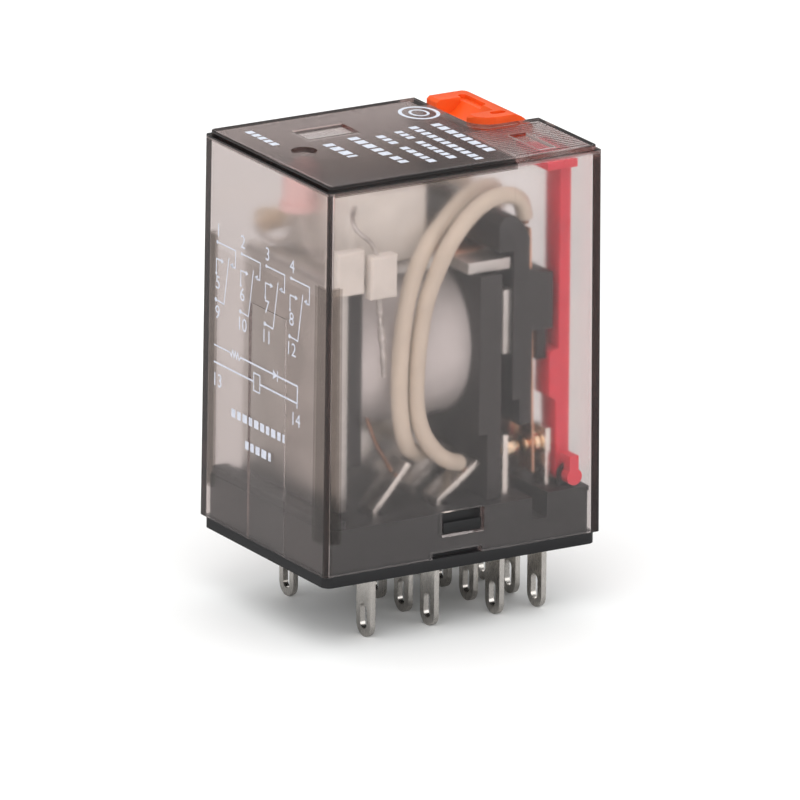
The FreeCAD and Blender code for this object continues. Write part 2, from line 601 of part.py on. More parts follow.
def make_leads():
    braids = []
    # the two far leads duck under the floor of the lid's notch
    routes = (OUTER_TOP + OUTER_FALL, INNER_TOP + INNER_FALL,
              far_side(INNER_TOP_LOW + INNER_FALL), far_side(OUTER_TOP_LOW + OUTER_FALL))
    for n, route in enumerate(routes, 1):
        outer = tube(route, SLEEVE_R)
        bore = tube(route, SLEEVE_BORE)
        keep(f"lead_sleeve_{n}", outer.cut(bore))
        wire, radius = tube_path(route)
        print(f"lead {n}: length {wire.Length:.1f} mm, smallest bend radius {radius:.1f} mm")
        braid = tube(route, BRAID_R)
        for end, inner, bare in ((route[0], route[1], 0.5), (route[-1], route[-2], 0.5)):
            out = (V(*end) - V(*inner)).normalize() * bare
            braid = braid.fuse(rod(BRAID_R, end, tuple(V(*end) + out)))
        braids.append(braid)
    keep("lead_braids", *braids)


# ---------------------------------------------------------------- indicator circuit
LAMP = (-9.75, 0.45)


def make_indicator():
    x, y = LAMP
    lens = rod(1.45, (x, y, 31.6), (x, y, 33.5)).fuse(rod(1.7, (x, y, 31.0), (x, y, 31.7)))
    lens = lens.fuse(Part.makeSphere(1.45, V(x, y, 33.5)))
    keep("lamp", lens.removeSplitter())
    wires = [
        tube([(x, y - 0.9, 31.0), (x, y - 0.9, 28.6), (x, -2.4, 27.3), (-9.9, -5.4, 27.6),
              (-10.0, -7.6, 28.0)], 0.25),
        tube([(x, y + 0.9, 31.0), (x, y + 0.9, 28.6), (-10.1, 3.0, 27.3),
              (-10.7, 5.2, 27.5), (-10.55, 6.35, 28.1)], 0.25),
    ]
    body = rod(0.95, (-9.7, 6.6, 28.4), (-5.7, 6.6, 28.4))
    caps = [rod(1.1, (cap_x, 6.6, 28.4), (cap_x + 0.9, 6.6, 28.4)) for cap_x in (-9.8, -6.5)]
    legs = rod(0.25, (-10.3, 6.6, 28.4), (-5.1, 6.6, 28.4))
    keep("resistor", fuse([body, legs] + caps))
    block = rounded_block(3.9, 5.1, 0.7, 26.95, 33.15).translated(V(-4.55, -0.1, 0))
    block = block.cut(rod(1.95, (x, y, 20), (x, y, 36)))
    block = block.cut(box(1.0, 5.0, -6.0, 6.0, 26, 27.4))
    keep("spacer_block", block)
    sleeves = [
        box(-8.85, -6.2, -9.4, -8.0, 25.1, 29.0),
        box(-11.9, -9.1, -8.75, -7.5, 25.6, 29.6),
    ]
    rounded = [s.makeFillet(0.35, [e for e in s.Edges if e.Length > 2.0]) for s in sleeves]
    joints = Part.makeCompound(rounded)
    keep("joint_insulators", *rounded)
    keep("lamp_wires", *[w.cut(joints) for w in wires])
    jumpers = [
        tube([(-8.2, -5.3, 32.4), (-9.0, -6.5, 32.6), (-9.9, -7.7, 32.4), (-10.15, -8.5, 31.6),
              (-9.4, -8.7, 30.9), (-8.5, -8.7, 30.1), (-7.9, -8.7, 28.8)], 0.2),
        tube([(-7.75, -8.7, 25.3), (-7.6, -8.7, 22.9), (-7.3, -8.7, 20.4),
              (-7.15, -8.7, 17.9)], 0.3),
    ]
    keep("joint_wires", *[w.cut(joints) for w in jumpers])
    # winding ends led down to the two coil blades
    ends = []
    for side in (-1, 1):
        ends.append(tube([(-8.2, side * 7.6, 14.0), (-7.6, side * 7.7, 12.0),
                          (-6.2, side * 7.3, 9.9), (-5.3, side * 6.9, 8.6)], 0.18))
    keep("coil_ends", *ends)


def main():
    os.makedirs("parts", exist_ok=True)
    make_terminals()
    make_fixed_contacts()
    make_base()
    make_cover()
    make_magnet()
    make_armature_set()
    make_flag()
    make_test_lever()
    make_leads()
    make_indicator()
    for name, shape in NODES.items():
        solids = len(shape.Solids)
        if not shape.isValid() or solids == 0:
            print(f"{name}: valid {shape.isValid()}, solids {solids}")
        shape.exportStep(f"parts/{name}.step")
    print(f"{len(NODES)} nodes")


main()
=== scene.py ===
"""Looks of a plug-in four-pole relay under a clear smoke cover. Lengths given in mm are
turned to metres by MM. The frame is the CAD's: +Z up, -Y the wide front, +X the contact end."""
import json
import math
import random

import bmesh
import bpy
from mathutils import Matrix, Vector, noise
from mathutils.bvhtree import BVHTree

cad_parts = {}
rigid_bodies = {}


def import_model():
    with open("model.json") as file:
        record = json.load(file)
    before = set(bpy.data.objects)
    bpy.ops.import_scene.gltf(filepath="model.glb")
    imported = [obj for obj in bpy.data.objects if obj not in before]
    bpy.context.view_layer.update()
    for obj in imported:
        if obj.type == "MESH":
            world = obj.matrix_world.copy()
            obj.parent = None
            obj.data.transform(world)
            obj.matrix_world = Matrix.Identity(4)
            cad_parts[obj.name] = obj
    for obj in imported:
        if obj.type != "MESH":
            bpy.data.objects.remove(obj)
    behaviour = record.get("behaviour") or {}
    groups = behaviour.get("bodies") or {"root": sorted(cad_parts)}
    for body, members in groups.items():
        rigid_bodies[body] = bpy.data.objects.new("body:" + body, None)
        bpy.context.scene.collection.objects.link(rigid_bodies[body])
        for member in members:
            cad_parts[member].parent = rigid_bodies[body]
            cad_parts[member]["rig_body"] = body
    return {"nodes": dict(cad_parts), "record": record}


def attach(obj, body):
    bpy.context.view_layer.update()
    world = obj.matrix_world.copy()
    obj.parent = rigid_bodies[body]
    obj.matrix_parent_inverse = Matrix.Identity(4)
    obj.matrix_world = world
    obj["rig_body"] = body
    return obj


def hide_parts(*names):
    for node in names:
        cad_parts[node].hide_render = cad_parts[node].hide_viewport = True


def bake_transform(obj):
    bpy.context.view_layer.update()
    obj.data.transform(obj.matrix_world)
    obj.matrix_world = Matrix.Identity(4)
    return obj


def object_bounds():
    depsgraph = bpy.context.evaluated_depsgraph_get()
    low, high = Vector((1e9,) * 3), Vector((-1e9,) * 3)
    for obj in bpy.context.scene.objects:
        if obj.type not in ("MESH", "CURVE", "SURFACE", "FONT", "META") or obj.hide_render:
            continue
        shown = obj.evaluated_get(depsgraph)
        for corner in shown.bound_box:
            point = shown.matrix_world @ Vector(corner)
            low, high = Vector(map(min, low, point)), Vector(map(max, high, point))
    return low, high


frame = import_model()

MM = 0.001
CAD_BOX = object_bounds()
NODES = frame["nodes"]
SCENE = bpy.context.scene


def mm(x, y, z):
    return Vector((x * MM, y * MM, z * MM))


# ---------------------------------------------------------------- camera, floor, light
CAM_AZIMUTH, CAM_ELEVATION, CAM_ROLL = -31.124, 16.948, 0.602
CAM_DISTANCE = 1.3211
CAM_LENS = 682.44
CAM_AIM_Z = 18.0
CAM_DROP, CAM_SIDE = 5.47, 0.12


def make_camera():
    a, e, r = (math.radians(v) for v in (CAM_AZIMUTH, CAM_ELEVATION, CAM_ROLL))
    back = Vector((math.sin(a) * math.cos(e), -math.cos(a) * math.cos(e), math.sin(e)))
    right = Vector((math.cos(a), math.sin(a), 0))
    up = back.cross(right)
    side = right * math.cos(r) + up * math.sin(r)
    top = up * math.cos(r) - right * math.sin(r)
    centre = mm(0, 0, CAM_AIM_Z)
    place = centre + back * CAM_DISTANCE
    target = centre - top * (CAM_DROP * MM) - side * (CAM_SIDE * MM)
    z = (place - target).normalized()
    x = top.cross(z).normalized()
    y = z.cross(x)
    data = bpy.data.cameras.new("camera")
    data.sensor_width = 36.0
    data.lens = CAM_LENS
    data.clip_start, data.clip_end = 0.1, 20.0
    camera = bpy.data.objects.new("camera", data)
    SCENE.collection.objects.link(camera)
    turn = Matrix((x, y, z)).transposed().to_4x4()
    camera.matrix_world = Matrix.Translation(place) @ turn
    SCENE.camera = camera


def link(obj):
    SCENE.collection.objects.link(obj)
    return obj


def node(tree, kind, inputs=None, **settings):
    made = tree.nodes.new(kind)
    for key, value in settings.items():
        setattr(made, key, value)
    for key, value in (inputs or {}).items():
        if isinstance(value, bpy.types.NodeSocket):
            tree.links.new(value, made.inputs[key])
        else:
            made.inputs[key].default_value = value
    return made


# sky brightness: low down behind the object, overhead, and on the camera's side
SKY_LOW, SKY_HIGH, SKY_FRONT = 0.16, 1.2, 1.4
SKY_DARK_BELOW, SKY_BRIGHT_ABOVE = 0.2, 0.8
FRONT_FROM, FRONT_TO = -0.3, 0.35
FRONT = (-0.515, -0.857, 0.0)


def make_world():
    world = bpy.data.worlds.new("studio")
    world.use_nodes = True
    tree = world.node_tree
    background = tree.nodes["Background"]
    where = node(tree, "ShaderNodeTexCoord").outputs["Generated"]
    split = node(tree, "ShaderNodeSeparateXYZ", {"Vector": where})
    rise = node(tree, "ShaderNodeMapRange", {
        "Value": split.outputs["Z"], "From Min": SKY_DARK_BELOW, "From Max": SKY_BRIGHT_ABOVE,
        "To Min": SKY_LOW, "To Max": SKY_HIGH},
        interpolation_type="SMOOTHSTEP").outputs["Result"]
    ahead = node(tree, "ShaderNodeVectorMath", {0: where, 1: FRONT}, operation="DOT_PRODUCT")
    fill = node(tree, "ShaderNodeMapRange", {
        "Value": ahead.outputs["Value"], "From Min": FRONT_FROM, "From Max": FRONT_TO,
        "To Min": SKY_LOW, "To Max": SKY_FRONT}, interpolation_type="SMOOTHSTEP")
    strength = node(tree, "ShaderNodeMath", {0: rise, 1: fill.outputs["Result"]},
                    operation="MAXIMUM").outputs[0]
    # the backdrop itself is white, whatever the light from that side
    seen = node(tree, "ShaderNodeLightPath").outputs["Is Camera Ray"]
    strength = node(tree, "ShaderNodeMath", {0: strength, 1: seen},
                    operation="MAXIMUM").outputs[0]
    tree.links.new(strength, background.inputs["Strength"])
    background.inputs["Color"].default_value = (1.0, 1.0, 1.0, 1.0)
    SCENE.world = world


def area_light(name, place, size, power, target=(0, 0, 15)):
    """Soft rectangular lamp aimed at the middle of the relay."""
    data = bpy.data.lights.new(name, "AREA")
    data.shape = "RECTANGLE"
    data.size, data.size_y = (s * MM for s in size)
    data.energy = power
    lamp = link(bpy.data.objects.new(name, data))
    lamp.location = mm(*place)
    look = mm(*target) - lamp.location
    lamp.rotation_mode = "QUATERNION"
    lamp.rotation_quaternion = look.to_track_quat("-Z", "Y")


FLOOR_HALF_SIZE = 6.0
# painted glow and reflection: the paper glows where it is seen through the cover, so it is
# brighter there than its light makes it, and is painted darker in mirror reflections
FLOOR_SEEN, FLOOR_PAINTED_DARK_IN_MIRRORS = (0.95, 0.955, 0.95, 1.0), (0.42, 0.42, 0.42, 1.0)
FLOOR_GLOW_THROUGH_COVER = 0.42
# place mm, size mm, power W
LIGHTS = {
    "key": ((-180, -260, 420), (260, 260), 0.50),
    "back": ((200, 320, 300), (300, 200), 0.14),
}


def make_studio():
    make_world()
    for name, setting in LIGHTS.items():
        area_light(name, *setting)
    bm = bmesh.new()
    bmesh.ops.create_grid(bm, x_segments=8, y_segments=8, size=FLOOR_HALF_SIZE)
    mesh = bpy.data.meshes.new("floor")
    bm.to_mesh(mesh)
    bm.free()
    floor = link(bpy.data.objects.new("floor", mesh))
    floor.location.z = CAD_BOX[0].z
    mat = bpy.data.materials.new("floor_paper")
    mat.use_nodes = True
    shader = mat.node_tree.nodes["Principled BSDF"]
    # painted glow for rays through the cover and a painted darker colour in mirror reflections
    path = node(mat.node_tree, "ShaderNodeLightPath")
    lift = node(mat.node_tree, "ShaderNodeMath", {
        0: path.outputs["Is Transmission Ray"], 1: FLOOR_GLOW_THROUGH_COVER}, operation="MULTIPLY").outputs[0]
    wire(mat.node_tree, shader, Roughness=0.9, Specular_IOR_Level=0.0,
         Base_Color=mixed(mat.node_tree, path.outputs["Is Glossy Ray"], FLOOR_SEEN,
                          FLOOR_PAINTED_DARK_IN_MIRRORS),
         Emission_Color=FLOOR_SEEN, Emission_Strength=lift)
    mesh.materials.append(mat)


# ---------------------------------------------------------------- material helpers
def material(name):
    mat = bpy.data.materials.new(name)
    mat.use_nodes = True
    return mat, mat.node_tree, mat.node_tree.nodes["Principled BSDF"]


def place_of(tree, stretch=(1, 1, 1)):
    where = node(tree, "ShaderNodeTexCoord").outputs["Object"]
    if stretch == (1, 1, 1):
        return where
    return node(tree, "ShaderNodeMapping", {"Vector": where, "Scale": stretch}).outputs["Vector"]


def grain_of(tree, size, detail=3.0, stretch=(1, 1, 1)):
    """Noise whose features are about size mm across."""
    return node(tree, "ShaderNodeTexNoise", {
        "Vector": place_of(tree, stretch), "Scale": 1 / (size * MM), "Detail": detail,
    }).outputs["Fac"]


def ramp(tree, value, low, high, start=0.3, end=0.7):
    return node(tree, "ShaderNodeMapRange", {
        "Value": value, "From Min": start, "From Max": end, "To Min": low, "To Max": high,
    }).outputs["Result"]


def mixed(tree, share, first, second):
    return node(tree, "ShaderNodeMixRGB", {
        "Fac": share, "Color1": first, "Color2": second}).outputs["Color"]


def bumped(tree, height, depth, strength=1.0):
    """Surface normal of a relief depth mm high."""
    return node(tree, "ShaderNodeBump", {
        "Height": height, "Distance": depth * MM, "Strength": strength}).outputs["Normal"]


def wire(tree, shader, **links):
    for key, value in links.items():
        socket = shader.inputs[key.replace("_", " ")]
        if isinstance(value, bpy.types.NodeSocket):
            tree.links.new(value, socket)
        else:
            socket.default_value = value


def tone(colour, gain):
    return tuple(min(c * gain, 1.0) for c in colour) + (1.0,)


def moulded(name, colour, rough, grain=0.12, depth=0.004, mottle=0.08, **extra):
    """Moulded plastic: fine surface grain, slow colour drift and uneven gloss."""
    mat, tree, shader = material(name)
    fine = grain_of(tree, grain)
    drift = grain_of(tree, 2.5)
    wire(tree, shader,
         Base_Color=mixed(tree, ramp(tree, drift, 0, 1), tone(colour, 1 - mottle),
                          tone(colour, 1 + mottle)),
         Roughness=ramp(tree, fine, rough - 0.06, rough + 0.06),
         Normal=bumped(tree, fine, depth), **extra)
    return mat


def metal(name, colour, rough, streak=(1, 1, 0.06), depth=0.0015, stain=0.1, **extra):
    """Rolled or plated sheet: fine lines along the strip and slow stains."""
    mat, tree, shader = material(name)
    lines = grain_of(tree, 0.05, 4.0, streak)
    stains = grain_of(tree, 1.1, 3.0)
    wire(tree, shader,
         Base_Color=mixed(tree, ramp(tree, stains, 0, 1), tone(colour, 1 - stain),
                          tone(colour, 1 + stain * 0.4)),
         Metallic=1.0,
         Roughness=ramp(tree, lines, rough - 0.07, rough + 0.09),
         Normal=bumped(tree, lines, depth), **extra)
    return mat


# ---------------------------------------------------------------- materials
COVER_IOR = 1.58
COVER_OUTER_ROUGH, COVER_INNER_ROUGH, SHOULDER_ROUGH = 0.06, 0.20, 0.6
COVER_RELIEF = 0.008
WALL_GRAIN, LID_GRAIN, LID_SPECK = 0.22, 0.11, 0.13
LID_RELIEF_SHARE = 0.6
SMOKE_DENSITY = 190.0
SMOKE_COLOUR = (0.40, 0.16, 0.12, 1.0)
SHADOW_TINT = (0.94, 0.93, 0.93, 1.0)
# tints of the cover's skin, zone by zone. Only the clear tint is the plastic's own colour; the
# others are painted shade and light: a dark lid painted lighter towards the back, darker
# grooves, a black rim, dark corners, a darker strip beside them and a darker coil-end wall
SKIN_CLEAR = (1.0, 0.985, 0.98, 1.0)
GROOVE_PAINTED_SHADE = (0.62, 0.58, 0.57, 1.0)
LID_PAINTED_SHADE = (0.28, 0.235, 0.225, 1.0)
LID_BACK_PAINTED_LIGHTER = (0.85, 0.78, 0.76, 1.0)
RIM_PAINTED_BLACK = (0.02, 0.02, 0.02, 1.0)
SHADE_STRIP_NEAR_CORNERS = (0.42, 0.38, 0.35, 1.0)
CORNER_PAINTED_DARK = (0.16, 0.14, 0.13, 1.0)
COIL_END_WALL_SHADE = (0.86, 0.81, 0.79, 1.0)
BLACK = (0.0, 0.0, 0.0, 1.0)
# limits of those zones, mm: the outer skin lies beyond these, the inner skin short of them
OUTER_X, OUTER_Y, OUTER_Z = 13.55, 10.3, 35.55
NOTCH_X, NOTCH_Y, NOTCH_Z = 6.8, -0.95, 32.85
LID_Z = 35.2
LID_SIDE_X, LID_SIDE_Y = 13.36, 10.11
CORNER_X, CORNER_Y = 13.6, 10.35
COIL_END_X = 13.15
RIM_ZONE, GROOVE_ZONE = (35.6, 36.12), (36.03, 36.16)
SHOULDER_ZONE, LID_TOP_ZONE = (35.42, 35.68), (36.1, 36.3)
BESIDE_CORNER, BESIDE_HEIGHT = (-20, -12.35, 8.5, 20), (4.0, 27.0)
LID_FRONT_Y, LID_BACK_Y = -9, 10
# x0, x1, y0, y1 of the lighter ribbed corner and of the polished label window
RIBBED = (5.2, 20, -20, -1.3)
LABEL = (-7.7, -2.5, 3.15, 6.25)


def maths(tree, operation, a, b=0.0):
    return node(tree, "ShaderNodeMath", {0: a, 1: b}, operation=operation).outputs[0]


def compare(tree, value, limit):
    """1 where value is more than limit mm."""
    return maths(tree, "GREATER_THAN", value, limit * MM)


def both(tree, a, b):
    return maths(tree, "MULTIPLY", a, b)


def either(tree, a, b):
    return maths(tree, "MAXIMUM", a, b)


def outside_of(tree, value):
    return maths(tree, "SUBTRACT", 1.0, value)


def inside(tree, value, low, high):
    """1 where value lies between low and high mm."""
    return both(tree, compare(tree, value, low), outside_of(tree, compare(tree, value, high)))


def zone(tree, x, y, x0, x1, y0, y1):
    """1 within a plan rectangle given in mm."""
    return both(tree, inside(tree, x, x0, x1), inside(tree, y, y0, y1))


def lid_mask(tree, x, y, z):
    """1 on the lid's satin part."""
    windows = either(tree, zone(tree, x, y, *LABEL), zone(tree, x, y, *RIBBED))
    return both(tree, compare(tree, z, LID_Z), outside_of(tree, windows))


def cover_tint(tree, x, y, z):
    """Colour of the cover's skin, mostly painted shade and light: the satin lid is painted dark
    and lighter towards the back, with polished windows and a lighter ribbed corner whose grooves
    are painted darker; the rim is painted black and the corners and a strip beside them dark,
    standing for the dark where light runs lengthwise through the walls, and the coil-end wall is
    painted a little darker."""
    size_x, size_y = (maths(tree, "ABSOLUTE", v) for v in (x, y))
    ribbed = zone(tree, x, y, *RIBBED)
    # painted shade: the grooves of the ribbed corner are tinted darker
    groove = both(tree, ribbed, inside(tree, z, *GROOVE_ZONE))
    # painted shade: the rim is painted black where light runs lengthwise through it
    side = either(tree, compare(tree, size_x, LID_SIDE_X), compare(tree, size_y, LID_SIDE_Y))
    rim = both(tree, both(tree, side, inside(tree, z, *RIM_ZONE)), outside_of(tree, ribbed))
    # painted shade: the upright corners are painted dark
    corner = both(tree, compare(tree, size_x, CORNER_X), compare(tree, size_y, CORNER_Y))
    # painted shade: a darker strip beside the coil-end corners
    beside = both(tree, zone(tree, x, size_y, *BESIDE_CORNER), inside(tree, z, *BESIDE_HEIGHT))
    # painted shade: the coil-end wall's outer skin is tinted a little darker
    coil_end = compare(tree, maths(tree, "MULTIPLY", x, -1.0), COIL_END_X)
    # painted shade and light: the lid is painted dark, and lighter towards the back
    far = node(tree, "ShaderNodeMapRange", {
        "Value": y, "From Min": LID_FRONT_Y * MM, "From Max": LID_BACK_Y * MM}).outputs["Result"]
    dark_lid_paint = mixed(tree, far, LID_PAINTED_SHADE, LID_BACK_PAINTED_LIGHTER)
    speck = ramp(tree, grain_of(tree, LID_SPECK, 2.0), 0.0, 0.35)
    dark_lid_paint = mixed(tree, speck, dark_lid_paint, BLACK)
    tint = mixed(tree, lid_mask(tree, x, y, z), SKIN_CLEAR, dark_lid_paint)
    for share, colour in ((coil_end, COIL_END_WALL_SHADE), (beside, SHADE_STRIP_NEAR_CORNERS),
                          (groove, GROOVE_PAINTED_SHADE), (corner, CORNER_PAINTED_DARK), (rim, RIM_PAINTED_BLACK)):
        tint = mixed(tree, share, tint, colour)
    return tint


def outer_skin(tree, x, y, z):
    """1 on the polished outer faces, notch included, 0 on the satin inner ones."""
    walls = either(tree, compare(tree, maths(tree, "ABSOLUTE", x), OUTER_X),
                   compare(tree, maths(tree, "ABSOLUTE", y), OUTER_Y))
    notch = both(tree, compare(tree, x, NOTCH_X), compare(tree, y, NOTCH_Y))
    notch = both(tree, notch, compare(tree, z, NOTCH_Z))
    return either(tree, walls, either(tree, compare(tree, z, OUTER_Z), notch))


def smoke_cover():
    """Tinted clear plastic: polished outside, satin inside, darker along long paths, with painted
    shade and light on its skin.
    """
    mat, tree, shader = material("smoke_polycarbonate")
    split = node(tree, "ShaderNodeSeparateXYZ", {"Vector": place_of(tree)})
    x, y, z = (split.outputs[k] for k in "XYZ")
    outside = outer_skin(tree, x, y, z)
    rough = node(tree, "ShaderNodeMapRange", {
        "Value": outside, "To Min": COVER_INNER_ROUGH, "To Max": COVER_OUTER_ROUGH})
    shoulder = both(tree, inside(tree, z, *SHOULDER_ZONE), outside)
    rough = node(tree, "ShaderNodeMapRange", {
        "Value": shoulder, "To Min": rough.outputs["Result"], "To Max": SHOULDER_ROUGH})
    plain = outside_of(tree, either(tree, outside, zone(tree, x, y, *RIBBED)))
    texture = both(tree, grain_of(tree, WALL_GRAIN, 2.0), plain)
    lid_top = both(tree, lid_mask(tree, x, y, z), inside(tree, z, *LID_TOP_ZONE))
    lid_texture = both(tree, both(tree, grain_of(tree, LID_GRAIN, 2.0), lid_top),
                       LID_RELIEF_SHARE)
    texture = maths(tree, "ADD", texture, lid_texture)
    wire(tree, shader, Base_Color=cover_tint(tree, x, y, z), Transmission_Weight=1.0,
         IOR=COVER_IOR, Roughness=rough.outputs["Result"],
         Normal=bumped(tree, texture, COVER_RELIEF))
    path = node(tree, "ShaderNodeLightPath")
    straight = either(tree, path.outputs["Is Shadow Ray"], path.outputs["Is Diffuse Ray"])
    through = node(tree, "ShaderNodeBsdfTransparent", {"Color": SHADOW_TINT})
    mix = node(tree, "ShaderNodeMixShader", {
        0: straight, 1: shader.outputs["BSDF"], 2: through.outputs["BSDF"]})
    out = tree.nodes["Material Output"]
    tree.links.new(mix.outputs["Shader"], out.inputs["Surface"])
    smoke = node(tree, "ShaderNodeVolumeAbsorption", {
        "Color": SMOKE_COLOUR, "Density": SMOKE_DENSITY})
    tree.links.new(smoke.outputs["Volume"], out.inputs["Volume"])
    return mat


def make_materials():
    red = {"Subsurface_Weight": 0.5, "Subsurface_Radius": (1.0, 0.25, 0.2),
           "Subsurface_Scale": 0.6 * MM}
    orange = {"Subsurface_Weight": 0.3, "Subsurface_Radius": (1.0, 0.4, 0.2),
              "Subsurface_Scale": 0.5 * MM, "Specular_IOR_Level": 0.35}
    pale = {"Subsurface_Weight": 0.3, "Subsurface_Radius": (1.0, 0.9, 0.8),
            "Subsurface_Scale": 0.5 * MM}
    return {
        "smoke_cover": smoke_cover(),
        "black_base": moulded("black_moulding", (0.013, 0.013, 0.014), 0.42, depth=0.006,
                              Specular_IOR_Level=0.35),
        "black_bobbin": moulded("bobbin_nylon", (0.024, 0.023, 0.023), 0.38),
        "black_carrier": moulded("carrier_nylon", (0.020, 0.020, 0.021), 0.34),
        "nickel": metal("bright_nickel", (0.86, 0.82, 0.77), 0.24),
        "nickel_frame": metal("satin_nickel", (0.76, 0.74, 0.71), 0.34, (0.1, 0.1, 1)),
        "soft_iron": metal("plated_iron", (0.66, 0.64, 0.61), 0.3, (1, 1, 1)),
        "copper": metal("enamelled_copper", (0.42, 0.25, 0.18), 0.4, (0.05, 1, 1)),
        "clear_tape": moulded("coil_tape_film", (0.61, 0.585, 0.575), 0.4, 0.5, 0.02, 0.05),
        "spring_bronze": metal("spring_bronze_strip", (0.80, 0.47, 0.33), 0.28),
        "contact_alloy": metal("contact_rivet", (0.95, 0.76, 0.54), 0.16, (1, 1, 1)),
        "red_plastic": moulded("red_flag_resin", (0.70, 0.042, 0.072), 0.4, **red),
        "orange_plastic": moulded("orange_lever_resin", (0.78, 0.085, 0.006), 0.5, **orange),
        "beige_sleeve": moulded("glass_braid_sleeving", (0.62, 0.55, 0.455), 0.55, 0.14, 0.02,
                                0.05, **pale),
        "lamp_pink": moulded("lamp_resin", (0.84, 0.58, 0.56), 0.25, **pale),
        "tinned_wire": metal("tinned_copper", (0.80, 0.77, 0.74), 0.5, (1, 1, 1), 0.006, 0.3),
        "resistor_body": moulded("resistor_lacquer", (0.62, 0.50, 0.36), 0.3),
        "white_plastic": moulded("ivory_moulding", (0.68, 0.65, 0.60), 0.45, **pale),
    }


def dress_nodes(materials):
    slots = {s["node"]: s["material_slot"] for s in frame["record"]["subparts"]}
    for name, obj in NODES.items():
        for slot in obj.material_slots:
            slot.material = materials[slots[name]]
    return slots


# ---------------------------------------------------------------- mesh work
def clean_copy(name):
    """A node's surface as joined polygons, with the flat triangles merged."""
    bm = bmesh.new()
    bm.from_mesh(NODES[name].data)
    bmesh.ops.remove_doubles(bm, verts=bm.verts, dist=0.002 * MM)
    bmesh.ops.dissolve_limit(bm, angle_limit=math.radians(1.0), verts=bm.verts, edges=bm.edges)
    bm.verts.index_update()
    corners = [v.co.copy() for v in bm.verts]
    faces = [[v.index for v in f.verts] for f in bm.faces]
    bm.free()
    mesh = bpy.data.meshes.new(name + "_surface")
    mesh.from_pydata(corners, [], faces)
    return mesh


def finish_piece(obj, names, slot_name, materials, body=None):
    obj.data.materials.clear()
    obj.data.materials.append(materials[slot_name])
    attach(obj, body or NODES[names[0]]["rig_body"])
    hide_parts(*names)
    return obj


def roomy(edge, width):
    """Whether both faces beside an edge are wide enough to give up width metres."""
    length = edge.calc_length()
    return length > 5 * width and all(
        f.calc_area() / max(e.calc_length() for e in f.edges) > 2.6 * width
        for f in edge.link_faces)


def rounded_edges(mesh, width, segments, angle):
    """Copy of mesh with its long sharp edges rounded, or None where the rounding strays
    from the old surface."""
    bm = bmesh.new()
    bm.from_mesh(mesh)
    old = BVHTree.FromBMesh(bm)
    chosen = [e for e in bm.edges if len(e.link_faces) == 2
              and e.calc_face_angle(0) > math.radians(angle) and roomy(e, width)]
    bmesh.ops.bevel(bm, geom=chosen, offset=width, segments=segments, profile=0.5,
                    affect="EDGES", clamp_overlap=True)
    strays = max(old.find_nearest(v.co)[3] for v in bm.verts) > 0.8 * width
    made = bpy.data.meshes.new(mesh.name)
    bm.to_mesh(made)
    bm.free()
    return None if strays else made


def softened(name, width, slot_name, materials, segments=2, angle=24):
    """Stands for a node with its sharp edges rounded to width mm, or less where that fails."""
    plain = clean_copy(name)
    shares = (1.0, 0.6, 0.3) if width else ()
    tries = (rounded_edges(plain, width * share * MM, segments, angle) for share in shares)
    mesh = next((made for made in tries if made), plain)
    for face in mesh.polygons:
        face.use_smooth = True
    mesh.set_sharp_from_angle(angle=math.radians(38))
    obj = link(bpy.data.objects.new(name + "_finished", mesh))
    return finish_piece(obj, [name], slot_name, materials)


EDGES = {
    "cover": 0, "base": 0.10, "bobbin": 0.12, "yoke": 0.08, "armature": 0.06,
    "contact_carrier": 0.10, "flag_lever": 0.14, "test_lever": 0.14, "spacer_block": 0.30,
    "joint_insulators": 0.10, "hinge_spring": 0.04,
}


def make_softened(slots, materials):
    for name, width in EDGES.items():
        softened(name, width, slots[name], materials)
    for name in NODES:
        if "_terminal_" in name:
            softened(name, 0.05, slots[name], materials)


# ---------------------------------------------------------------- leads and wires
OUTER_TOP = [(8.15, -6.6, 29.5), (8.0, -6.65, 30.8), (7.0, -6.85, 31.75), (5.3, -7.15, 32.1),
             (3.2, -7.5, 31.65)]
OUTER_TOP_LOW = [(8.15, -6.6, 29.5), (7.85, -6.65, 30.45), (6.95, -6.85, 31.05),
                 (5.4, -7.15, 31.15), (3.3, -7.5, 31.0)]
OUTER_FALL = [
    (1.3, -7.8, 30.3), (-0.35, -8.05, 28.6), (-1.55, -8.25, 26.6), (-2.6, -8.3, 24.4),
    (-3.2, -8.32, 21.9), (-3.6, -8.3, 18.6), (-3.7, -8.3, 15.0), (-3.3, -8.3, 12.9),
    (-2.5, -8.3, 11.2), (-1.3, -8.2, 9.8), (0.1, -7.8, 8.85), (1.5, -7.1, 8.35)]
INNER_TOP = [(8.15, -2.2, 29.5), (8.0, -2.4, 30.75), (7.0, -3.0, 31.65), (5.3, -3.75, 31.9),
             (3.2, -4.6, 31.5)]
INNER_TOP_LOW = [(8.15, -2.2, 29.5), (7.85, -2.4, 30.45), (6.95, -3.0, 31.05),
                 (5.4, -3.75, 31.15), (3.3, -4.6, 31.0)]
INNER_FALL = [
    (0.85, -5.6, 30.2), (-1.1, -6.4, 29.0), (-2.85, -7.2, 27.2), (-4.1, -7.8, 25.2),
    (-4.85, -8.15, 22.7), (-5.3, -8.3, 19.5), (-5.4, -8.3, 15.4), (-5.0, -8.2, 12.6),
    (-4.2, -7.6, 10.9), (-2.9, -6.6, 9.8), (-1.3, -5.2, 9.2), (0.2, -3.7, 8.75),
    (1.5, -2.7, 8.35)]
SLEEVE_R, BRAID_R, BARE = 0.75, 0.40, 0.5


def far_side(route):
    return [(x, -y, z) for x, y, z in route]


